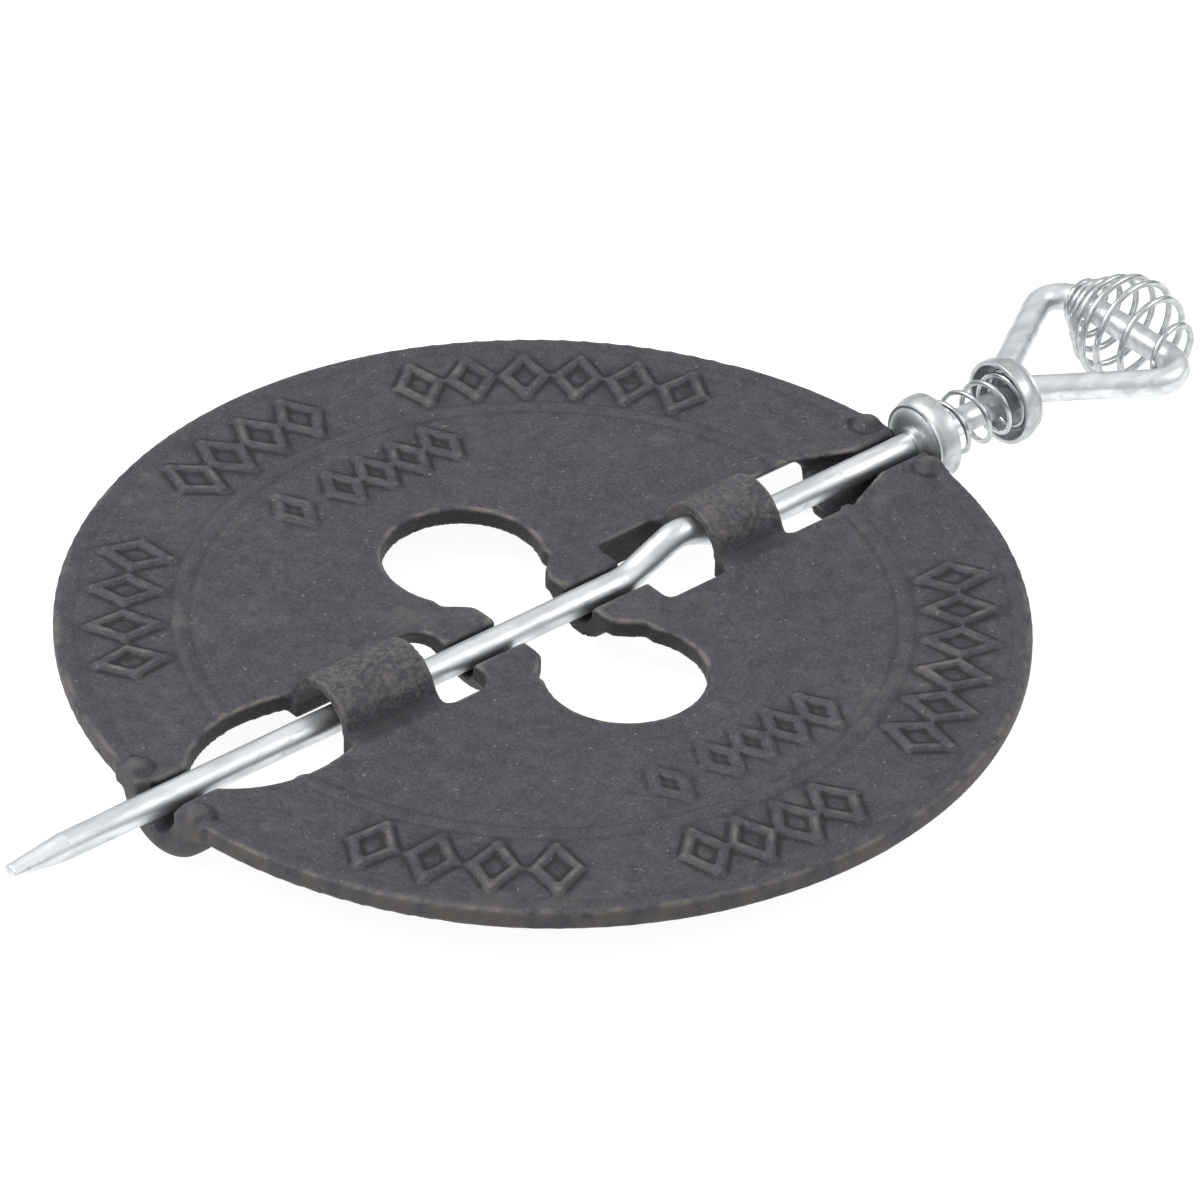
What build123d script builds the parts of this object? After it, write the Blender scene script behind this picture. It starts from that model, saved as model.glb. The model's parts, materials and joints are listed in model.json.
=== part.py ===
# Stovepipe damper: a cast plate that turns in a flue pipe on a bent steel rod,
# with a spring and two cups that grip the pipe wall and a wire coil as a cool grip.
# Millimetres. The origin is the plate's centre on the rod's axis. +X runs along the
# rod towards the handle, and +Z is square to the plate, on the side of its bridges.
import os
from math import cos, pi, sin, sqrt

from build123d import *

os.makedirs("parts", exist_ok=True)

# Cast plate
plate_dia = 196.8          # fits a pipe of 203 mm (8 in) with room to turn
plate_thick = 4.0
plate_top = 1.4            # height of the plate's upper face over the rod's axis
rim_lip_width = 4.0
rim_lip_height = 0.4
rim_lip_slope = 1.6        # run of the lip's inner flank
rim_round = 0.9
ring_radius = 73.0         # raised ring between the two fields of the plate
ring_width = 3.0
ring_height = 0.45
nub_radius = 3.4           # small mounds beside the rod at the rim
nub_height = 2.0
nub_offset = 9.7
nub_inset = 2.8

# Two round draught holes joined by a neck
eye_radius = 16.4
eye_offset = 25.6
neck_half = 9.0
neck_reach = 10.6          # where the neck starts to widen
flank_half = 14.2
flank_reach = 15.0
neck_round = 4.0

# Bridges over the rod
bridge_left_start = -57.5
bridge_left_length = 22.5
bridge_right_start = 39.0
bridge_right_length = 17.2
bridge_outer = 9.2
bridge_wall = 2.15
bridge_rise = 1.0          # height of the bridge's arc centre over the rod's axis
bridge_foot_round = 3.5

# Openings beside the bridges
oval_length = 30.0         # from the left bridge outwards
oval_half = 12.2
oval_widest = 11.0         # distance of its widest place from the bridge
oval_mouth = 10.5          # half width where it meets the bridge
oval_tip = 4.3             # half width at its outer end
slot_left_length = 13.0    # from the left bridge to the left tongue
slot_left_half = 11.6
slot_left_round = 5.0      # its corners beside the tongue
slot_draft = 2.1           # how much its sides spread on their way down
slot_round = 3.0
pocket_half = 11.5         # half width of the knee's pocket
pocket_length = 15.5       # from the right tongue to the right bridge
pocket_wall = 2.4
pocket_depth = 11.0        # depth of the oval that the pocket's walls are cut from
pocket_round = 1.5
outer_slot_length = 19.0   # from the right bridge to the right gutter
outer_slot_half = 9.3
outer_slot_draft = 3.8
outer_slot_run = 3.7       # how much further it reaches at the plate's lower face

# Gutters under the rod
gutter_inner = 4.3
gutter_wall = 4.3
gutter_foot_round = 2.5
gutter_edge_round = 1.3
gutter_proud = 0.5         # how far a gutter's end stands past the plate's rim
gutter_left_length = 14.5
tongue_depth = 7.2         # from the rod's axis to the bottom of the middle gutters
boss_radius = 12.6         # rounded boss round the left gutter's mouth
boss_length = 10.0
boss_round = 3.9
mouth_radius = 6.0         # flare of the left gutter's mouth
mouth_length = 5.0
funnel_half = 9.5          # half width of the right gutter's wide end
funnel_depth = 6.4
funnel_neck = 11.0         # length of its narrow end
funnel_wall = 2.6
funnel_tongue = 2.5        # half width of the tongue at the funnel's wide end
scoop_slope = 0.45         # run of a gutter's slanted end over its height

# Steel rod, bent from one length
rod_dia = 5.8
tip_reach = 134.0          # from the plate's centre to the point
point_length = 13.0
point_half_width = 1.9
point_half_height = 1.1
point_round = 0.6
knee_start = 21.5
knee_run = 14.0            # run of each flank of the knee
knee_rise = 6.2
knee_foot_round = 12.0
knee_round = 8.0

# Spring and its two cups
cup_outer = 9.3
cup_wall = 1.0
cup_depth = 6.0
cup_corner = 4.4
cup_lip = 0.9              # collar round the hole, on the cup's back
cup_lip_wall = 0.8
running_clearance = 0.1    # between the rod and a cup's hole
cup_gap = 0.3              # between a cup and what it bears on
spring_wire = 1.2
spring_mean = 6.1          # mean radius of the spring
spring_turns = 6.5
spring_room = 30.5         # from the back of one cup to the back of the other
spring_end_gap = 0.15
closed_pitch = 2.1         # pitch of the closed turn at each end

# Handle loop
loop_depth = 31.5          # from the first bend to the cross bar
loop_low = 20.6            # how far the loop's lower corner stands off the axis
loop_high = 27.5
loop_slope = 0.625         # slope of the leg that comes back beside the rod
apex_round = 6.0
low_round = 6.0
high_round = 6.0
apex_gap = 2.3             # from the cup's back to the first bend

# Coil on the cross bar
grip_wire = 1.5
grip_turns = 7.5
grip_start = 18.0          # where its small end stands on the bar
grip_length = 29.3
grip_start_mean = 4.5      # mean radius of its first turn
grip_end_mean = 6.0
grip_swell = 6.4
grip_skew = 1.65
grip_spread = 0.4          # share of the pitch that grows along the coil

# Sizes worked out from those above
plate_radius = plate_dia / 2
plate_bottom = plate_top - plate_thick
plate_middle = (plate_top + plate_bottom) / 2
rod_radius = rod_dia / 2
bridge_inner = bridge_outer - bridge_wall
bridge_left_end = bridge_left_start + bridge_left_length
bridge_right_end = bridge_right_start + bridge_right_length
tongue_left_start = bridge_left_end + slot_left_length
tongue_right_end = bridge_right_start - pocket_length
gutter_outer = gutter_inner + gutter_wall
gutter_end = plate_radius + gutter_proud
gutter_reach = gutter_end + gutter_outer
funnel_start = bridge_right_end + outer_slot_length
funnel_neck_x = gutter_end - funnel_neck
through = 3 * gutter_outer
seat_back = gutter_end + cup_gap
cup_back = seat_back + spring_room
apex_x = cup_back + apex_gap
bar_x = apex_x + loop_depth
knee_x = knee_start + knee_run
knee_end = knee_x + knee_run
leg_turn = sqrt(1 + loop_slope**2)
loop_end_x = cup_back + cup_gap + rod_radius * loop_slope / leg_turn
loop_end_y = loop_high - loop_slope * (bar_x - loop_end_x)


# Rounded boss round the left gutter's mouth, all below the plate's upper face
with BuildPart() as mouth_boss:
    with BuildSketch(Plane.XZ) as boss_profile:
        with Locations((-gutter_end, 0)):
            Rectangle(boss_length, boss_radius, align=(Align.MIN, Align.MIN))
        fillet(boss_profile.vertices().group_by(Axis.Y)[-1], boss_round)
    revolve(axis=Axis.X)
    split(bisect_by=Plane.XY.offset(plate_middle), keep=Keep.BOTTOM)


def slot_outline(height, start, length, half, near_round, far_round):
    """A slot at a height, with corners of one radius at each end."""
    with BuildSketch(Plane.XY.offset(height)) as outline:
        with Locations((start, 0)):
            Rectangle(length, 2 * half, align=(Align.MIN, Align.CENTER))
        fillet(outline.vertices().group_by(Axis.X)[0], near_round)
        if far_round:
            fillet(outline.vertices().group_by(Axis.X)[-1], far_round)
    return outline.sketch


# Cast plate: a disc with a raised lip and ring, all turned in one profile
with BuildPart() as damper_plate:
    with BuildSketch(Plane.XZ):
        with BuildLine():
            lip_top = plate_top + rim_lip_height
            lip_in = plate_radius - rim_lip_width
            ring_out = ring_radius + ring_width / 2
            ring_in = ring_radius - ring_width / 2
            Polyline(
                (0, plate_bottom),
                (plate_radius, plate_bottom),
                (plate_radius, lip_top),
                (lip_in + rim_lip_slope, lip_top),
                (lip_in, plate_top),
                (ring_out, plate_top),
            )
            ThreePointArc(
                (ring_out, plate_top), (ring_radius, plate_top + ring_height), (ring_in, plate_top)
            )
            Polyline((ring_in, plate_top), (0, plate_top), (0, plate_bottom))
        make_face()
    revolve(axis=Axis.Z)
    rim_edges = damper_plate.edges().filter_by(GeomType.CIRCLE).sort_by(SortBy.RADIUS)[-2:]
    fillet(rim_edges, rim_round)

    # Nubs beside the rod at the rim
    with Locations((0, 0, plate_top + nub_height - nub_radius)):
        with GridLocations(2 * (plate_radius - nub_inset), 2 * nub_offset, 2, 2):
            Sphere(nub_radius)
    with Locations((0, 0, plate_bottom)):
        Cylinder(
            plate_dia,
            4 * nub_radius,
            align=(Align.CENTER, Align.CENTER, Align.MAX),
            mode=Mode.SUBTRACT,
        )

    # Gutters that carry the rod from beneath, and the walls of the knee's pocket
    for start, end, outer_half, depth in (
        (-gutter_reach, -gutter_end + gutter_left_length, gutter_outer, gutter_outer),
        (tongue_left_start, -neck_half, gutter_outer, tongue_depth),
        (neck_half, tongue_right_end, gutter_outer, tongue_depth),
        (tongue_right_end, bridge_right_start, pocket_half + pocket_wall, pocket_depth),
        (funnel_neck_x, gutter_reach, gutter_outer, gutter_outer),
    ):
        with BuildSketch(Plane.YZ.offset(start)) as gutter_profile:
            with Locations((0, plate_middle)):
                Rectangle(2 * (outer_half + 2 * gutter_foot_round), plate_thick)
            Ellipse(outer_half, depth)
            with Locations((0, plate_top)):
                Rectangle(
                    4 * outer_half,
                    2 * gutter_outer,
                    align=(Align.CENTER, Align.MIN),
                    mode=Mode.SUBTRACT,
                )
            feet = gutter_profile.vertices().filter_by(
                lambda v: abs(v.Y - plate_bottom) < 0.01 and abs(v.X) < outer_half
            )
            fillet(feet, gutter_foot_round)
        extrude(amount=end - start)

    # The right gutter widens into a funnel towards its bridge
    with BuildSketch(Plane.YZ.offset(funnel_start)):
        Ellipse(funnel_half + funnel_wall, funnel_depth + funnel_wall)
        with Locations((0, plate_top)):
            Rectangle(
                4 * funnel_half, 4 * funnel_half, align=(Align.CENTER, Align.MIN), mode=Mode.SUBTRACT
            )
    with BuildSketch(Plane.YZ.offset(funnel_neck_x)):
        Ellipse(gutter_outer, gutter_outer)
        with Locations((0, plate_top)):
            Rectangle(
                4 * funnel_half, 4 * funnel_half, align=(Align.CENTER, Align.MIN), mode=Mode.SUBTRACT
            )
    loft()

    # The boss round the left gutter's mouth
    add(mouth_boss.part)

    # Each gutter's end follows the rim
    with BuildSketch(Plane.XY.offset(-through)):
        Circle(gutter_end + 4 * gutter_outer)
        Circle(gutter_end, mode=Mode.SUBTRACT)
    extrude(amount=2 * through, mode=Mode.SUBTRACT)

    # Bridges over the rod, with rounded feet
    for start, length in (
        (bridge_left_start, bridge_left_length),
        (bridge_right_start, bridge_right_length),
    ):
        with BuildSketch(Plane.YZ.offset(start)) as bridge_profile:
            with Locations((0, plate_middle)):
                Rectangle(2 * (bridge_outer + 2 * bridge_foot_round), plate_thick)
            with Locations((0, bridge_rise)):
                Circle(bridge_outer)
            with Locations((0, plate_bottom)):
                Rectangle(
                    4 * bridge_outer,
                    2 * bridge_outer,
                    align=(Align.CENTER, Align.MAX),
                    mode=Mode.SUBTRACT,
                )
            feet = bridge_profile.vertices().filter_by(
                lambda v: abs(v.Y - plate_top) < 0.01 and abs(v.X) < bridge_outer + 0.01
            )
            fillet(feet, bridge_foot_round)
        extrude(amount=length)

    # Draught holes and their neck
    with BuildSketch(Plane.XY.offset(-through)) as draught_holes:
        with Locations((0, eye_offset), (0, -eye_offset)):
            Circle(eye_radius)
        for side in (1, -1):
            with BuildLine():
                Polyline(
                    (-neck_half, 0),
                    (neck_half, 0),
                    (neck_half, side * neck_reach),
                    (flank_half, side * flank_reach),
                    (flank_half, side * eye_offset),
                    (-flank_half, side * eye_offset),
                    (-flank_half, side * flank_reach),
                    (-neck_half, side * neck_reach),
                    close=True,
                )
            make_face()
        shoulders = draught_holes.vertices().filter_by(
            lambda v: abs(abs(v.X) - neck_half) < 0.01 and abs(abs(v.Y) - neck_reach) < 0.01
        )
        fillet(shoulders, neck_round)
    extrude(amount=2 * through, mode=Mode.SUBTRACT)

    # The knee's pocket, and the slots beside the bridges, whose sides spread downwards
    with BuildSketch(Plane.XY.offset(-through)):
        with Locations((tongue_right_end, 0)):
            RectangleRounded(
                pocket_length, 2 * pocket_half, pocket_round, align=(Align.MIN, Align.CENTER)
            )
    extrude(amount=2 * through, mode=Mode.SUBTRACT)
    for start, length, run, half, draft, far_round in (
        (bridge_left_end, slot_left_length, 0, slot_left_half, slot_draft, slot_left_round),
        (bridge_right_end, outer_slot_length, outer_slot_run, outer_slot_half, outer_slot_draft, 0),
    ):
        above = slot_outline(plate_top, start, length, half, slot_round, far_round)
        below = slot_outline(
            plate_bottom, start, length + run, half + draft, slot_round, far_round
        )
        loft(sections=[above, below], mode=Mode.SUBTRACT)
        extrude(above, amount=2 * ring_height, dir=(0, 0, 1), mode=Mode.SUBTRACT)

    # The long oval opening left of its bridge
    with BuildSketch(Plane.XY.offset(-through)):
        with BuildLine() as oval_edge:
            widest = (bridge_left_start - oval_widest, oval_half)
            tip = (bridge_left_start - oval_length, oval_tip)
            mouth = (bridge_left_start, oval_mouth)
            Line((bridge_left_start, 0), mouth)
            TangentArc(widest, mouth, tangent=(1, 0))
            TangentArc(widest, tip, tangent=(-1, 0))
            Line(tip, (bridge_left_start - oval_length, 0))
            mirror(about=Plane.XZ)
        make_face()
    extrude(amount=2 * through, mode=Mode.SUBTRACT)

    # Channel for the rod: over the gutters it is open above, with rounded edges
    for start, end in (
        (-gutter_reach, bridge_left_start),
        (tongue_left_start - slot_round, tongue_right_end + slot_round),
        (funnel_start - slot_round, gutter_reach),
    ):
        with BuildSketch(Plane.YZ.offset(start)) as channel_profile:
            Circle(gutter_inner)
            with Locations((0, plate_top / 2)):
                Rectangle(2 * gutter_inner, plate_top)
            with Locations((0, plate_top)):
                Rectangle(
                    2 * (gutter_inner + 2 * gutter_edge_round),
                    2 * gutter_outer,
                    align=(Align.CENTER, Align.MIN),
                )
            lips = channel_profile.vertices().filter_by(
                lambda v: abs(v.Y - plate_top) < 0.01 and abs(v.X) < gutter_inner + 0.01
            )
            fillet(lips, gutter_edge_round)
        extrude(amount=end - start, mode=Mode.SUBTRACT)

    # Under each bridge the plate is open below
    for start, length in (
        (bridge_left_start, bridge_left_length),
        (bridge_right_start, bridge_right_length),
    ):
        with BuildSketch(Plane.YZ.offset(start)):
            with Locations((0, bridge_rise)):
                Circle(bridge_inner)
                Rectangle(2 * bridge_inner, through, align=(Align.CENTER, Align.MAX))
        extrude(amount=length, mode=Mode.SUBTRACT)

    # The flare of the left mouth, the funnel's hollow and tongue, and the slanted ends
    with BuildSketch(Plane.XZ):
        with BuildLine():
            Polyline(
                (-gutter_reach, 0),
                (-gutter_reach, mouth_radius),
                (-gutter_end, mouth_radius),
                (-gutter_end + mouth_length, gutter_inner),
                (-gutter_end + mouth_length, 0),
                close=True,
            )
        make_face()
    revolve(axis=Axis.X, mode=Mode.SUBTRACT)
    with BuildSketch(Plane.YZ.offset(funnel_start)):
        Ellipse(funnel_half, funnel_depth)
    with BuildSketch(Plane.YZ.offset(funnel_neck_x)):
        Circle(gutter_inner)
    loft(mode=Mode.SUBTRACT)
    with BuildSketch(Plane.XY.offset(-through)):
        with BuildLine():
            funnel_side = funnel_half + funnel_wall
            Polyline(
                (funnel_start - slot_round, funnel_tongue),
                (funnel_start, funnel_tongue),
                (funnel_start + outer_slot_run, funnel_side),
                (funnel_start - slot_round, funnel_side),
                close=True,
            )
        make_face()
        mirror(about=Plane.XZ)
    extrude(amount=through + plate_bottom, mode=Mode.SUBTRACT)
    for edge_x, run in (
        (-gutter_end + gutter_left_length, -scoop_slope),
        (tongue_left_start, scoop_slope),
    ):
        with BuildSketch(Plane.XZ.offset(-through)):
            with BuildLine():
                foot = edge_x + run * (through + plate_bottom)
                Polyline((edge_x, plate_bottom), (foot, -through), (edge_x, -through), close=True)
            make_face()
        extrude(amount=2 * through, mode=Mode.SUBTRACT)


# Steel rod: its point, the knee that holds the plate, and the handle loop in one bar
with BuildPart() as handle_rod:
    with BuildLine() as rod_path:
        FilletPolyline(
            (-tip_reach + point_length, 0, 0),
            (knee_start, 0, 0),
            (knee_x, 0, knee_rise),
            (knee_end, 0, 0),
            (apex_x, 0, 0),
            (bar_x, -loop_low, 0),
            (bar_x, loop_high, 0),
            (loop_end_x, loop_end_y, 0),
            radius=(knee_foot_round, knee_round, knee_foot_round, apex_round, low_round, high_round),
        )
    with BuildSketch(Plane.YZ.offset(-tip_reach + point_length)):
        Circle(rod_radius)
    sweep()
    with BuildSketch(Plane.YZ.offset(-tip_reach + point_length)):
        Circle(rod_radius)
    with BuildSketch(Plane.YZ.offset(-tip_reach)):
        Ellipse(point_half_width, point_half_height)
    loft()
    point_rim = handle_rod.faces().sort_by(Axis.X)[0].edges()
    fillet(point_rim, point_round)


def spring_cup(back_x, way):
    """A pressed cup round the rod, its back at back_x and open along way."""
    hole = rod_radius + running_clearance
    with BuildPart() as cup:
        with BuildSketch(Plane.XY) as wall_profile:
            with BuildLine():
                rim = back_x + way * cup_depth
                Polyline(
                    (back_x - way * cup_lip, hole),
                    (back_x - way * cup_lip, hole + cup_lip_wall),
                    (back_x, hole + cup_lip_wall),
                    (back_x, cup_outer),
                    (rim, cup_outer),
                    (rim, cup_outer - cup_wall),
                    (back_x + way * cup_wall, cup_outer - cup_wall),
                    (back_x + way * cup_wall, hole),
                    close=True,
                )
            make_face()
            backs = wall_profile.vertices().filter_by(
                lambda v: v.Y > cup_outer - 2 * cup_wall and abs(v.X - rim) > cup_wall
            )
            outer_corner, inner_corner = backs.sort_by(Axis.Y)[-1], backs.sort_by(Axis.Y)[0]
            fillet(outer_corner, cup_corner)
            fillet(inner_corner, cup_corner - cup_wall)
            rims = wall_profile.vertices().filter_by(lambda v: abs(v.X - rim) < 0.01)
            fillet(rims, cup_wall / 3)
        revolve(axis=Axis.X)
    return cup.part


spring_seat = spring_cup(seat_back, 1)
retaining_cup = spring_cup(cup_back, -1)


def wind(point, turns, wire):
    """A round wire along point(u), u from 0 to 1, on biarcs of a quarter turn."""
    steps = 4 * turns
    fine = 1e-5

    def place(k):
        return point(k / steps)

    def way(k):
        u = k / steps
        return (point(u + fine) - point(u - fine)).normalized()

    with BuildPart() as coil:
        with BuildLine():
            Line(place(0) - way(0) * wire, place(0))
            whole = int(steps)
            marks = [float(k) for k in range(whole + 1)]
            if steps > whole:
                marks.append(steps)
            for k, after in zip(marks, marks[1:]):
                start, end, start_way, end_way = place(k), place(after), way(k), way(after)
                chord = end - start
                spread = 2 * (1 - start_way.dot(end_way))
                along = chord.dot(start_way + end_way)
                reach = (sqrt(along**2 + spread * chord.dot(chord)) - along) / spread
                near, far = start + start_way * reach, end - end_way * reach
                joint = (near + far) * 0.5
                TangentArc(start, joint, tangent=start_way)
                TangentArc(joint, end, tangent=far - near)
            Line(place(steps), place(steps) + way(steps) * wire)
        with BuildSketch(Plane(origin=place(0) - way(0) * wire, z_dir=way(0))):
            Circle(wire / 2)
        sweep()
    return coil.part


def least_gap(point, turns, wire, per_turn=90):
    """Least gap of a wound tube to itself, measured on points along it."""
    count = int(turns * per_turn)
    line = [point(k / count) for k in range(count + 1)]
    return min(
        (line[i] - line[k]).length
        for i in range(len(line))
        for k in range(i + per_turn // 2, min(len(line), i + 3 * per_turn // 2))
    ) - wire


# Compression spring: one round wire, its end turns closed
spring_first = seat_back + cup_wall + spring_wire / 2 + spring_end_gap
spring_span = spring_room - 2 * cup_wall - spring_wire - 2 * spring_end_gap
spring_open = spring_span - closed_pitch * spring_turns


def spring_point(u):
    """Centre of the spring's wire after the share u of its turns."""
    turn = 2 * pi * u * spring_turns
    opened = spring_open * (u - sin(2 * pi * u) / (2 * pi))
    along = spring_first + closed_pitch * spring_turns * u + opened
    return Vector(along, spring_mean * cos(turn), spring_mean * sin(turn))


compression_spring = wind(spring_point, spring_turns, spring_wire)
print("compression spring: least gap", round(least_gap(spring_point, spring_turns, spring_wire), 3))


# Grip coil: a barrel of open turns that keeps the hand off the hot bar
def grip_point(u):
    """Centre of the grip's wire after the share u of its turns."""
    turn = 2 * pi * u * grip_turns
    even = grip_start_mean + (grip_end_mean - grip_start_mean) * u
    swollen = even + grip_swell * sin(pi * abs(u) ** grip_skew)
    along = grip_start - grip_length * ((1 - grip_spread) * u + grip_spread * u**3)
    return Vector(bar_x + swollen * cos(turn), along, swollen * sin(turn))


grip_coil = wind(grip_point, grip_turns, grip_wire)
print("grip coil: least gap", round(least_gap(grip_point, grip_turns, grip_wire), 3))

for name, piece in (
    ("damper_plate", damper_plate.part),
    ("handle_rod", handle_rod.part),
    ("spring_seat", spring_seat),
    ("retaining_cup", retaining_cup),
    ("compression_spring", compression_spring),
    ("grip_coil", grip_coil),
):
    piece.label = name
    export_step(piece, f"parts/{name}.step")
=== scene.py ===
import json
import math
import random

import bmesh
import bpy
import numpy as np
from mathutils import Matrix, Vector


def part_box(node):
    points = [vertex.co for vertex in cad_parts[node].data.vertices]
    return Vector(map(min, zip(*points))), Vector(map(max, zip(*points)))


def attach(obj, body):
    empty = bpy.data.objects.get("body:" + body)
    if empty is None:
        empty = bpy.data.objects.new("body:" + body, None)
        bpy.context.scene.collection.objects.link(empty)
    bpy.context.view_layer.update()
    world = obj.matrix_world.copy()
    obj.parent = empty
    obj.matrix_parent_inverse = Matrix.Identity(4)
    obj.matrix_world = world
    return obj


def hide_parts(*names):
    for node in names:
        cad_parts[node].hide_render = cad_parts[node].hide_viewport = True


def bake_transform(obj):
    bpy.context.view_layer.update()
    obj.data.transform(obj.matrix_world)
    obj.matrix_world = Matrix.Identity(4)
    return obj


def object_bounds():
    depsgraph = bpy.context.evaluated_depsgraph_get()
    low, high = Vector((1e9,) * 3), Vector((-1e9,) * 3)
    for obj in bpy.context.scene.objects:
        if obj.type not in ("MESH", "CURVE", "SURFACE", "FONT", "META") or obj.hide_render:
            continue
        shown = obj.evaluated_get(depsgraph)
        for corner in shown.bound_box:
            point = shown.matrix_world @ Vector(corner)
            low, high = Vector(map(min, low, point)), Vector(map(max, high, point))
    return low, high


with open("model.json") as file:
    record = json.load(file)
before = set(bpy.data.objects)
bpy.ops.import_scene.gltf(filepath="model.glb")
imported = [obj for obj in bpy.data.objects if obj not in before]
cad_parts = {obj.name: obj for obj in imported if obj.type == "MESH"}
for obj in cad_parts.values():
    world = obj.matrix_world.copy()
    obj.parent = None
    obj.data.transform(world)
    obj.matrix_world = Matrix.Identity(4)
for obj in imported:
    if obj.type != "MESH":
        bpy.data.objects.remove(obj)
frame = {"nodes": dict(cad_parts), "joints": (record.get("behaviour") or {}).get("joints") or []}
cad_low, cad_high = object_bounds()
scene = bpy.context.scene
mm = 0.001


# Camera
# A long lens looks down on the damper from its pointed end and to one side, a little
# rolled, so that the rod climbs from the lower left to the handle at the upper right.
frame_pixels = 1200
focal_pixels = 8567.0
centre_pixel_x = 543.3        # where the plate's centre falls in the frame
centre_pixel_y = 618.9
view_distance = 1.722
view_azimuth = math.radians(-41.14)
view_elevation = math.radians(35.81)
view_roll = math.radians(1.66)
sensor_mm = 36.0

towards_camera = Vector((
    math.sin(view_azimuth) * math.cos(view_elevation),
    -math.cos(view_azimuth) * math.cos(view_elevation),
    math.sin(view_elevation),
))
level_right = Vector((0, 0, 1)).cross(towards_camera).normalized()
level_up = towards_camera.cross(level_right)
camera_right = math.cos(view_roll) * level_right + math.sin(view_roll) * level_up
camera_up = math.cos(view_roll) * level_up - math.sin(view_roll) * level_right
pixel = view_distance / focal_pixels
aside = (centre_pixel_x - frame_pixels / 2) * pixel
below = (centre_pixel_y - frame_pixels / 2) * pixel

camera_data = bpy.data.cameras.new("camera")
camera_data.lens = focal_pixels * sensor_mm / frame_pixels
camera_data.sensor_width = sensor_mm
camera = bpy.data.objects.new("camera", camera_data)
camera.matrix_world = Matrix((camera_right, camera_up, towards_camera)).transposed().to_4x4()
camera.location = towards_camera * view_distance - camera_right * aside + camera_up * below
scene.collection.objects.link(camera)
scene.camera = camera


# Studio
# A light table under two large soft boxes in a white room with darker walls, so that
# the iron stays matt and the zinc plating has broad highlights and crisp darker edges.
scene.view_settings.view_transform = "Standard"
floor_clearance = 0.05 * mm
floor_size = 6.0
floor_colour = (0.22, 0.22, 0.22, 1)
floor_glow = 0.92             # the table is lit from below, so its shadows are faint
ceiling_colour = (1.0, 1.0, 1.0, 1)
wall_colour = (0.16, 0.17, 0.185, 1)
wall_foot = 0.02              # heights between which the walls pale into the ceiling
wall_head = 0.42
room_light = 0.92
table_roughness = 0.9

floor_mesh = bpy.data.meshes.new("table_top")
shape = bmesh.new()
bmesh.ops.create_grid(shape, x_segments=1, y_segments=1, size=floor_size / 2)
bmesh.ops.translate(shape, verts=shape.verts, vec=(0, 0, cad_low.z - floor_clearance))
shape.to_mesh(floor_mesh)
shape.free()
floor = bpy.data.objects.new("table_top", floor_mesh)
scene.collection.objects.link(floor)
pale_table = bpy.data.materials.new("pale_table")
pale_table.use_nodes = True
table_shader = pale_table.node_tree.nodes["Principled BSDF"]
table_shader.inputs["Base Color"].default_value = floor_colour
table_shader.inputs["Roughness"].default_value = table_roughness
table_shader.inputs["Emission Color"].default_value = ceiling_colour
table_shader.inputs["Emission Strength"].default_value = floor_glow
floor_mesh.materials.append(pale_table)

world = bpy.data.worlds.new("white_room")
world.use_nodes = True
room = world.node_tree
direction = room.nodes.new("ShaderNodeTexCoord")
split_direction = room.nodes.new("ShaderNodeSeparateXYZ")
room_shade = room.nodes.new("ShaderNodeValToRGB")
room_shade.color_ramp.elements[0].color = wall_colour
room_shade.color_ramp.elements[0].position = wall_foot
room_shade.color_ramp.elements[1].color = ceiling_colour
room_shade.color_ramp.elements[1].position = wall_head
room.links.new(direction.outputs["Generated"], split_direction.inputs["Vector"])
room.links.new(split_direction.outputs["Z"], room_shade.inputs["Fac"])
room.links.new(room_shade.outputs["Color"], room.nodes["Background"].inputs["Color"])
room.nodes["Background"].inputs["Strength"].default_value = room_light
scene.world = world


def soft_box(name, place, target, size, watts):
    """A square area light at place, turned to target."""
    light = bpy.data.lights.new(name, "AREA")
    light.shape = "SQUARE"
    light.size = size
    light.energy = watts
    lamp = bpy.data.objects.new(name, light)
    lamp.location = place
    lamp.rotation_euler = (Vector(target) - Vector(place)).to_track_quat("-Z", "Y").to_euler()
    scene.collection.objects.link(lamp)


soft_box("key_box", place=(-0.7, 0.5, 1.3), target=(0, 0, 0), size=0.8, watts=20)
soft_box("fill_box", place=(1.1, -0.7, 0.9), target=(0.1, 0, 0), size=0.7, watts=5)


# Damper plate
# One sand casting of grey iron, rough and matt. Its edges are soft from the mould, and
# its edges and bridges are rubbed brown. Rows of raised lozenges stand on its face.
# Its hollows and the sides of its holes are darkened with painted shade.
plate_face = 1.4 * mm
casting_grain = 0.5 * mm      # size of the mesh that softens the casting's edges
edge_softening = 2
wave_length = 25 * mm         # the slight unevenness of a surface cast in sand
wave_height = 0.15 * mm
lozenge_height = 0.9 * mm
lozenge_root = 1.0 * mm       # how deep a lozenge's bars reach into the plate
bar_width = 1.5 * mm
outer_row_radius = 84.2 * mm
outer_lozenge = (13.4 * mm, 8.4 * mm)
outer_rows = ((30, 68, 6), (87, 108, 4), (128, 153, 4))   # first and last angle, count
inner_lozenge = (11.5 * mm, 6.6 * mm)
inner_row_x = (-17.0, -4.0, 4.5, 13.0, 21.5)
inner_row_y = 59.0 * mm
outer_heights = (0.8, 1.1)    # least and most, as shares: a mould fills unevenly
inner_heights = (0.6, 0.9)
iron_dark = (0.024, 0.024, 0.031, 1)
iron_light = (0.060, 0.060, 0.072, 1)
# painted shade: the near black put into the casting's hollows, creases and the sides of its holes
iron_painted_shade = (0.007, 0.007, 0.009, 1)
iron_speck = (0.13, 0.12, 0.115, 1)
iron_rubbed = (0.118, 0.103, 0.094, 1)
iron_rim = (0.072, 0.060, 0.052, 1)
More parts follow.
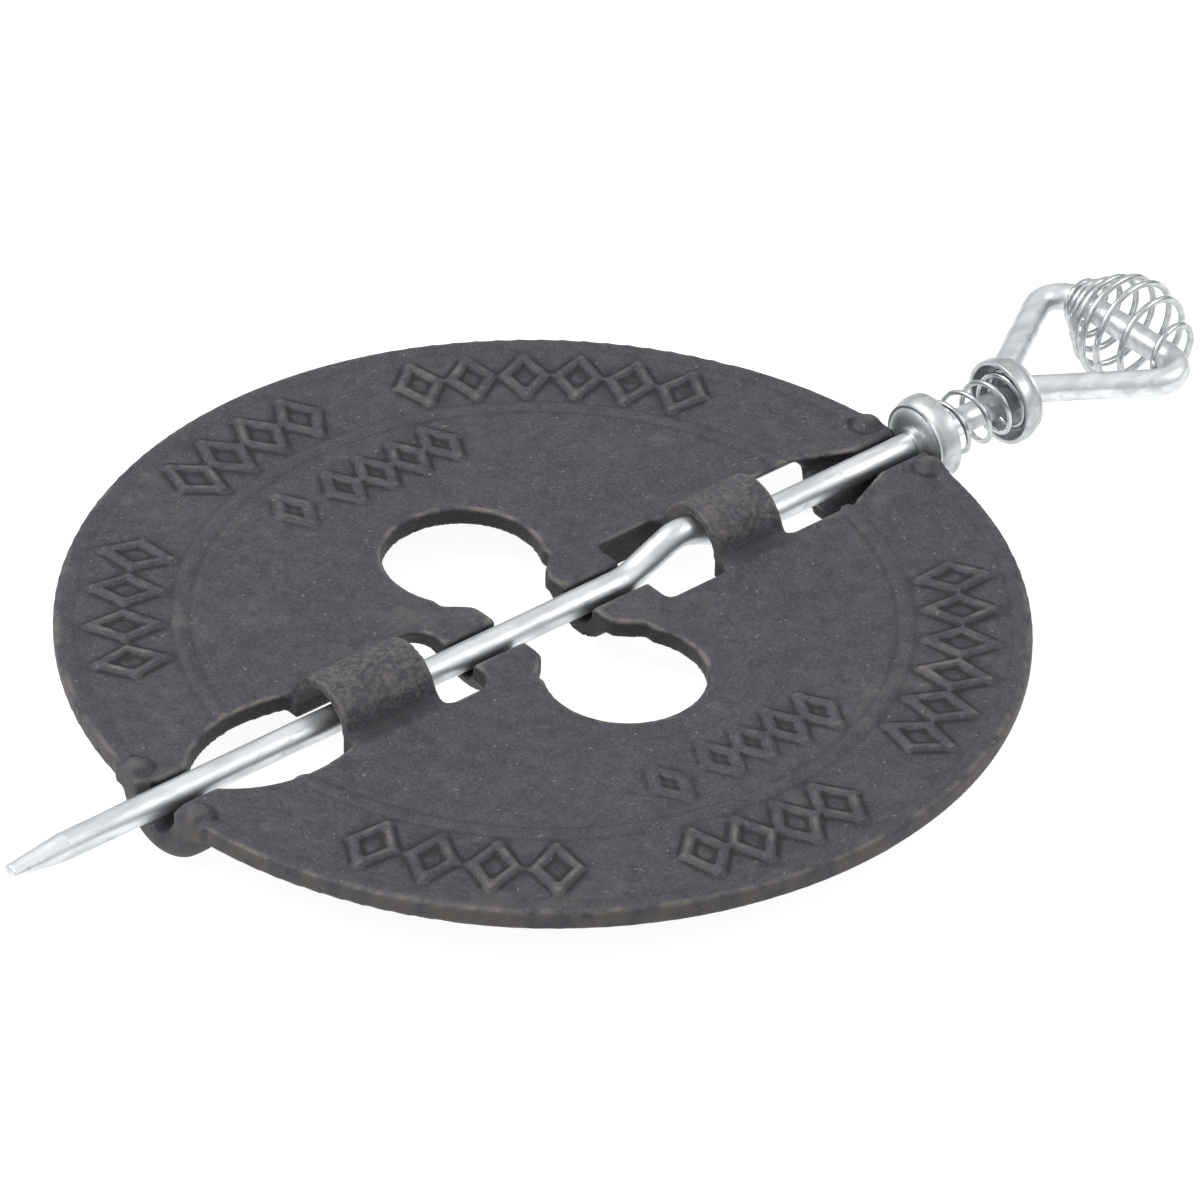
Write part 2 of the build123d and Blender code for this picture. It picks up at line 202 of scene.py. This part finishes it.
# the next two shape both the rubbed raised edges and the painted shade in the hollows
wear_and_shade_passes = 4          # the more, the further off a point's surroundings are taken
wear_and_shade_smoothing = 2
side_full = 0.25              # a normal's Z up to which a face is wholly an upright side
side_none = 0.75              # and from which it isn't one at all
rim_inside = 96.0 * mm        # radius beyond which an upright side belongs to the rim
bridge_wear_start = 1.5 * mm  # height over the face where the bridges begin to be rubbed
bridge_wear_full = 5.0 * mm
triangle_limit = 190000
grain_size = 0.55 * mm        # sizes of the patterns in the iron's skin
grain_depth = 0.12 * mm
lump_size = 2.2 * mm
lump_depth = 0.18 * mm
mottle_size = 3 * mm
patch_size = 24 * mm
speck_size = 1.0 * mm
rub_size = 5 * mm
bridge_rub_size = 1.3 * mm
brown_share = 0.4
rim_share = 0.8
bridge_share = 0.8
iron_gloss = 0.4


def merged_copy(node):
    """A bmesh of a CAD node's triangles, joined where they meet."""
    copy = bmesh.new()
    copy.from_mesh(frame["nodes"][node].data)
    bmesh.ops.remove_doubles(copy, verts=copy.verts, dist=0.002 * mm)
    return copy


def add_lozenge(casting, centre, angle, size, height):
    """Four raised bars round a hollow diamond that points away from the plate's centre."""
    tall, wide = size
    corners = [(tall / 2, 0), (0, wide / 2), (-tall / 2, 0), (0, -wide / 2)]
    turn = Matrix.Rotation(angle, 4, "Z")
    depth = height + lozenge_root
    for start, end in zip(corners, corners[1:] + corners[:1]):
        along = Vector((end[0] - start[0], end[1] - start[1], 0))
        middle = Vector(((start[0] + end[0]) / 2, (start[1] + end[1]) / 2, 0))
        rise = plate_face + height - depth / 2
        place = (
            Matrix.Translation(centre + Vector((0, 0, rise)))
            @ turn
            @ Matrix.Translation(middle)
            @ Matrix.Rotation(math.atan2(along.y, along.x), 4, "Z")
            @ Matrix.Diagonal((along.length + bar_width, bar_width, depth, 1))
        )
        bmesh.ops.create_cube(casting, size=1, matrix=place)


random.seed(7)
casting = merged_copy("damper_plate")
quarter_turn = math.radians(90)
for side in (1, -1):
    for first, last, count in outer_rows:
        for step in range(count):
            angle = side * math.radians(first + (last - first) * step / (count - 1))
            spot = Vector((math.cos(angle), math.sin(angle), 0)) * outer_row_radius
            height = lozenge_height * random.uniform(*outer_heights)
            add_lozenge(casting, spot, angle, outer_lozenge, height)
    for x in inner_row_x:
        spot = Vector((x * mm, side * inner_row_y, 0))
        height = lozenge_height * random.uniform(*inner_heights)
        add_lozenge(casting, spot, quarter_turn, inner_lozenge, height)

casting_mesh = bpy.data.meshes.new("rough_casting")
casting.to_mesh(casting_mesh)
casting.free()
rough_casting = bpy.data.objects.new("rough_casting", casting_mesh)
scene.collection.objects.link(rough_casting)

remesh = rough_casting.modifiers.new("grain", "REMESH")
remesh.mode = "VOXEL"
remesh.voxel_size = casting_grain
soften = rough_casting.modifiers.new("soften", "SMOOTH")
soften.factor = 0.5
soften.iterations = edge_softening
clouds = bpy.data.textures.new("waves", "CLOUDS")
clouds.noise_scale = wave_length
clouds.noise_depth = 1
waves = rough_casting.modifiers.new("waves", "DISPLACE")
waves.texture = clouds
waves.texture_coords = "LOCAL"
waves.strength = wave_height
waves.mid_level = 0.5


def applied_mesh(name, rough):
    """A rough object's mesh with its modifiers applied. The rough object is deleted."""
    evaluated = rough.evaluated_get(bpy.context.evaluated_depsgraph_get())
    mesh = bpy.data.meshes.new_from_object(evaluated)
    mesh.name = name
    bpy.data.objects.remove(rough)
    return mesh


def linked_object(name, mesh):
    """A new object in the scene that shows a mesh."""
    shown = bpy.data.objects.new(name, mesh)
    scene.collection.objects.link(shown)
    return shown


def mark_standing_out(mesh, name, passes):
    """Stores how far each point stands out from those round it: 0.5 where the surface is flat."""
    count = len(mesh.vertices)
    places = np.zeros(count * 3)
    mesh.vertices.foreach_get("co", places)
    places = places.reshape(-1, 3)
    normals = np.zeros(count * 3)
    mesh.vertices.foreach_get("normal", normals)
    normals = normals.reshape(-1, 3)
    ends = np.zeros(len(mesh.edges) * 2, np.int64)
    mesh.edges.foreach_get("vertices", ends)
    ends = ends.reshape(-1, 2)
    both = np.concatenate([ends, ends[:, ::-1]])
    neighbours = np.bincount(both[:, 0], minlength=count)

    def average(values):
        columns = [
            np.bincount(both[:, 0], weights=column[both[:, 1]], minlength=count)
            for column in values.T
        ]
        return np.stack(columns, 1) / np.maximum(neighbours, 1)[:, None]

    around = places
    for _ in range(passes):
        around = average(around)
    out = ((places - around) * normals).sum(1)[:, None]
    for _ in range(wear_and_shade_smoothing):
        out = average(out)
    stored = mesh.attributes.new(name, "FLOAT", "POINT")
    stored.data.foreach_set("value", (0.5 + out[:, 0] / mm).astype(np.float32))


def mark_places(mesh):
    """Stores how far each point lies on a hole's side (for painted shade), on the rim's side or
    on a bridge.
    """
    places = np.zeros(len(mesh.vertices) * 3)
    mesh.vertices.foreach_get("co", places)
    places = places.reshape(-1, 3)
    normals = np.zeros(len(mesh.vertices) * 3)
    mesh.vertices.foreach_get("normal", normals)
    rise = np.abs(normals.reshape(-1, 3)[:, 2])
    upright = np.clip((side_none - rise) / (side_none - side_full), 0, 1)
    under_face = np.clip((plate_face - places[:, 2]) / mm, 0, 1)
    at_rim = np.hypot(places[:, 0], places[:, 1]) > rim_inside
    raised = places[:, 2] - plate_face - bridge_wear_start
    for name, share in (
        # the sides of holes and slots get painted shade in the iron's material
        ("hole_side_shade", upright * under_face * ~at_rim),
        ("rim_side", upright * at_rim),
        ("on_bridge", np.clip(raised / (bridge_wear_full - bridge_wear_start), 0, 1)),
    ):
        stored = mesh.attributes.new(name, "FLOAT", "POINT")
        stored.data.foreach_set("value", share.astype(np.float32))


fine_mesh = applied_mesh("fine_casting", rough_casting)
mark_standing_out(fine_mesh, "standing_out", wear_and_shade_passes)
mark_places(fine_mesh)
fine_casting = linked_object("fine_casting", fine_mesh)
thin = fine_casting.modifiers.new("thin", "DECIMATE")
thin.ratio = triangle_limit / sum(len(face.vertices) - 2 for face in fine_mesh.polygons)
damper_plate = linked_object("cast_plate", applied_mesh("cast_plate", fine_casting))
damper_plate.data.shade_smooth()
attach(damper_plate, "plate")
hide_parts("damper_plate")


def noise_layer(tree, size, detail, stretch=(1, 1, 1)):
    """A noise of a given size in metres on Object coordinates, longer where it is stretched."""
    where = tree.nodes.new("ShaderNodeTexCoord")
    mapping = tree.nodes.new("ShaderNodeMapping")
    mapping.inputs["Scale"].default_value = [1 / times for times in stretch]
    layer = tree.nodes.new("ShaderNodeTexNoise")
    layer.inputs["Scale"].default_value = 1 / size
    layer.inputs["Detail"].default_value = detail
    tree.links.new(where.outputs["Object"], mapping.inputs["Vector"])
    tree.links.new(mapping.outputs["Vector"], layer.inputs["Vector"])
    return layer.outputs["Fac"]


def ramp(tree, source, low, high, from_colour=(0, 0, 0, 1), to_colour=(1, 1, 1, 1)):
    """Turns a value between low and high into a colour between two."""
    blend = tree.nodes.new("ShaderNodeValToRGB")
    blend.color_ramp.elements[0].position = low
    blend.color_ramp.elements[0].color = from_colour
    blend.color_ramp.elements[1].position = high
    blend.color_ramp.elements[1].color = to_colour
    tree.links.new(source, blend.inputs["Fac"])
    return blend.outputs["Color"]


def mixed(tree, share, first, second, way="MIX"):
    """One colour over another by share. Each colour is a socket or four numbers."""
    mix = tree.nodes.new("ShaderNodeMix")
    mix.data_type = "RGBA"
    mix.blend_type = way
    for socket, value in (("Factor", share), ("A", first), ("B", second)):
        wanted = "VALUE" if socket == "Factor" else "RGBA"
        target = next(s for s in mix.inputs if s.name == socket and s.type == wanted)
        if isinstance(value, (tuple, float)):
            target.default_value = value
        else:
            tree.links.new(value, target)
    return next(s for s in mix.outputs if s.type == "RGBA")


def multiplied(tree, first, second):
    """The product of two values, each a socket or a number."""
    product = tree.nodes.new("ShaderNodeMath")
    product.operation = "MULTIPLY"
    for slot_number, value in enumerate((first, second)):
        if isinstance(value, float):
            product.inputs[slot_number].default_value = value
        else:
            tree.links.new(value, product.inputs[slot_number])
    return product.outputs["Value"]


def bumped(tree, source, depth, under=None):
    """A bump of a given depth in metres from a value, on top of another bump."""
    bump = tree.nodes.new("ShaderNodeBump")
    bump.inputs["Strength"].default_value = 1.0
    bump.inputs["Distance"].default_value = depth
    tree.links.new(source, bump.inputs["Height"])
    if under:
        tree.links.new(under, bump.inputs["Normal"])
    return bump.outputs["Normal"]


def stored_value(tree, name):
    """A value that was stored on the points of the mesh."""
    stored = tree.nodes.new("ShaderNodeAttribute")
    stored.attribute_name = name
    return stored.outputs["Fac"]


cast_iron = bpy.data.materials.new("cast_iron")
cast_iron.use_nodes = True
tree = cast_iron.node_tree
shader = tree.nodes["Principled BSDF"]
grain = noise_layer(tree, grain_size, 2)
mottle = noise_layer(tree, mottle_size, 3)
patches = noise_layer(tree, patch_size, 3)
specks = noise_layer(tree, speck_size, 1)
rubbed_patches = noise_layer(tree, rub_size, 4)
bridge_patches = noise_layer(tree, bridge_rub_size, 6)
standing_out = stored_value(tree, "standing_out")
skin = mixed(tree, ramp(tree, grain, 0.30, 0.70), iron_dark, iron_light)
pale, shaded = (1, 1, 1, 1), (0.72, 0.72, 0.72, 1)
skin = mixed(tree, 1.0, skin, ramp(tree, mottle, 0.35, 0.62, shaded, pale), "MULTIPLY")
brown = multiplied(tree, ramp(tree, patches, 0.48, 0.75), ramp(tree, rubbed_patches, 0.45, 0.65))
skin = mixed(tree, multiplied(tree, brown, brown_share), skin, iron_rubbed)
skin = mixed(tree, ramp(tree, specks, 0.72, 0.78), skin, iron_speck)
rubbed = multiplied(
    tree, ramp(tree, standing_out, 0.57, 0.65), ramp(tree, rubbed_patches, 0.40, 0.60)
)
skin = mixed(tree, rubbed, skin, iron_rubbed)
rim_wear = multiplied(
    tree, stored_value(tree, "rim_side"), ramp(tree, rubbed_patches, 0.36, 0.58)
)
skin = mixed(tree, multiplied(tree, rim_wear, rim_share), skin, iron_rim)
bridge_wear = multiplied(
    tree, stored_value(tree, "on_bridge"), ramp(tree, bridge_patches, 0.44, 0.70)
)
skin = mixed(tree, multiplied(tree, bridge_wear, bridge_share), skin, iron_rubbed)
# painted shade: sunken points, such as the creases beside the lozenges, darkened to near black
skin = mixed(tree, ramp(tree, standing_out, 0.44, 0.487), iron_painted_shade, skin)
# painted shade: the sides of holes and slots under the face darkened to near black
skin = mixed(tree, stored_value(tree, "hole_side_shade"), skin, iron_painted_shade)
tree.links.new(skin, shader.inputs["Base Color"])
dull, duller = (0.5, 0.5, 0.5, 1), (0.75, 0.75, 0.75, 1)
tree.links.new(ramp(tree, grain, 0.3, 0.7, dull, duller), shader.inputs["Roughness"])
shader.inputs["Specular IOR Level"].default_value = iron_gloss
coarse = bumped(tree, noise_layer(tree, lump_size, 3), lump_depth)
tree.links.new(bumped(tree, grain, grain_depth, coarse), shader.inputs["Normal"])
damper_plate.data.materials.clear()
damper_plate.data.materials.append(cast_iron)


# Handle rod
# One length of drawn steel rod, bent cold into the knee and the handle's loop and zinc
# plated bright. Its plating is satin, with faint die lines and a few darker scuffs.
rod_shade = (0.56, 0.59, 0.605, 1)
rod_bright = (0.78, 0.81, 0.825, 1)
zinc_scuff = (0.20, 0.215, 0.225, 1)
rod_roughness = (0.34, 0.48)  # least and most
rod_streak = 5                # how many times longer the clouds are along the rod
scuff_size = 3.2 * mm
scuff_share = 0.45
cloud_size = 2.5 * mm
die_line_size = 0.5 * mm
die_line_depth = 0.012 * mm
dent_size = 6 * mm
dent_depth = 0.10 * mm


def zinc_material(name, shade, bright, roughness, streak=1):
    """Bright zinc plating with scuffs, and with clouds and lines drawn out along X by streak."""
    material = bpy.data.materials.new(name)
    material.use_nodes = True
    tree = material.node_tree
    shader = tree.nodes["Principled BSDF"]
    shader.inputs["Metallic"].default_value = 1.0
    clouds = noise_layer(tree, cloud_size, 3, (streak, 1, 1))
    lines = noise_layer(tree, die_line_size, 2, (streak * 3, 1, 1))
    colour = mixed(tree, ramp(tree, clouds, 0.38, 0.62), shade, bright)
    scuffs = ramp(tree, noise_layer(tree, scuff_size, 4, (2, 1, 1)), 0.62, 0.72)
    colour = mixed(tree, multiplied(tree, scuffs, scuff_share), colour, zinc_scuff)
    tree.links.new(colour, shader.inputs["Base Color"])
    least, most = [(value, value, value, 1) for value in roughness]
    tree.links.new(ramp(tree, clouds, 0.35, 0.65, most, least), shader.inputs["Roughness"])
    dents = bumped(tree, noise_layer(tree, dent_size, 1), dent_depth)
    tree.links.new(bumped(tree, lines, die_line_depth, dents), shader.inputs["Normal"])
    return material


def finish_node(node, material):
    """Gives a CAD node's own object a material in place of its plain one."""
    shown = frame["nodes"][node]
    for place in shown.material_slots:
        place.material = material


rod_zinc = zinc_material("zinc_on_rod", rod_shade, rod_bright, rod_roughness, rod_streak)
finish_node("handle_rod", rod_zinc)


# Spring seat and retaining cup
# Two cups pressed from thin sheet and zinc plated: one bears on the pipe's wall, the
# other on the rod's first bend, and each has a low collar drawn up round its hole.
cup_shade = (0.44, 0.465, 0.47, 1)
cup_bright = (0.58, 0.605, 0.615, 1)
cup_roughness = (0.38, 0.50)
cup_zinc = zinc_material("zinc_on_cups", cup_shade, cup_bright, cup_roughness)
finish_node("spring_seat", cup_zinc)
finish_node("retaining_cup", cup_zinc)


# Compression spring
# Zinc plated spring wire, wound open, with its turns closer at both ends. It stands
# between the two cups, round the rod, drawn here at one length; the real spring
# shortens when the handle is pushed in.
spring_roughness = (0.16, 0.28)
spring_wire = 1.2 * mm
spring_mean = 6.1 * mm        # radius of the wire's centre line
spring_turns = 6.5
spring_end_gap = 0.15 * mm    # left between the spring and each cup
cup_wall = 1.0 * mm
cup_lip = 0.9 * mm            # height of the collar on a cup's back
end_pitch = 2.1 * mm
points_per_turn = 20
seat_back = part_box("spring_seat")[0].x + cup_lip
cup_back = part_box("retaining_cup")[1].x - cup_lip
spring_first = seat_back + cup_wall + spring_wire / 2 + spring_end_gap
spring_span = cup_back - cup_wall - spring_wire / 2 - spring_end_gap - spring_first
spring_opened = spring_span - end_pitch * spring_turns


def spring_point(share):
    """Centre of the spring's wire after a share of its turns."""
    turn = 2 * math.pi * share * spring_turns
    opened = spring_opened * (share - math.sin(2 * math.pi * share) / (2 * math.pi))
    along = spring_first + end_pitch * spring_turns * share + opened
    return Vector((along, spring_mean * math.cos(turn), spring_mean * math.sin(turn)))


def wound_wire(name, point, turns, wire):
    """A round wire along point(share), with straight ends as long as it is thick."""
    steps = int(turns * points_per_turn)
    places = [point(step / steps) for step in range(steps + 1)]
    first_way = (places[0] - places[1]).normalized()
    last_way = (places[-1] - places[-2]).normalized()
    places = [places[0] + first_way * wire] + places + [places[-1] + last_way * wire]
    curve = bpy.data.curves.new(name, "CURVE")
    curve.dimensions = "3D"
    curve.bevel_depth = wire / 2
    curve.bevel_resolution = 3
    curve.use_fill_caps = True
    curve.resolution_u = 2
    line = curve.splines.new("NURBS")
    line.points.add(len(places) - 1)
    for knot, place in zip(line.points, places):
        knot.co = (*place, 1)
    line.order_u = 4
    line.use_endpoint_u = True
    rough = bpy.data.objects.new(name + "_line", curve)
    scene.collection.objects.link(rough)
    return rough


spring_zinc = zinc_material("zinc_on_spring", cup_shade, cup_bright, spring_roughness)
spring_line = wound_wire("open_spring", spring_point, spring_turns, spring_wire)
spring = linked_object("open_spring", applied_mesh("open_spring", spring_line))
spring.data.shade_smooth()
spring.data.materials.clear()
spring.data.materials.append(spring_zinc)
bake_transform(spring)
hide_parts("compression_spring")


# Grip coil
# A barrel of open turns, wound from bright spring wire with its small ends round the
# loop's cross bar. Air between the turns keeps it cool enough to hold.
grip_wire = 1.5 * mm
grip_turns = 7.5
grip_start = 18.0 * mm        # Y of the wire's first end
grip_length = 29.3 * mm
grip_start_mean = 4.5 * mm    # radius of the wire's centre line at its ends
grip_end_mean = 6.0 * mm
grip_swell = 6.4 * mm         # how far the barrel swells beyond these
grip_skew = 1.65              # over 1, so the barrel is widest past its middle
grip_spread = 0.4             # share of the pitch that grows along the coil
bar_x = next(joint["pos_m"][0] for joint in frame["joints"] if joint["name"] == "grip_spin")


def grip_point(share):
    """Centre of the grip's wire after a share of its turns."""
    turn = 2 * math.pi * share * grip_turns
    even = grip_start_mean + (grip_end_mean - grip_start_mean) * share
    swollen = even + grip_swell * math.sin(math.pi * share**grip_skew)
    along = grip_start - grip_length * ((1 - grip_spread) * share + grip_spread * share**3)
    return Vector((bar_x + swollen * math.cos(turn), along, swollen * math.sin(turn)))


grip_line = wound_wire("wound_grip", grip_point, grip_turns, grip_wire)
grip = linked_object("wound_grip", applied_mesh("wound_grip", grip_line))
grip.data.shade_smooth()
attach(grip, "grip")
grip.data.materials.clear()
grip.data.materials.append(spring_zinc)
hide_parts("grip_coil")
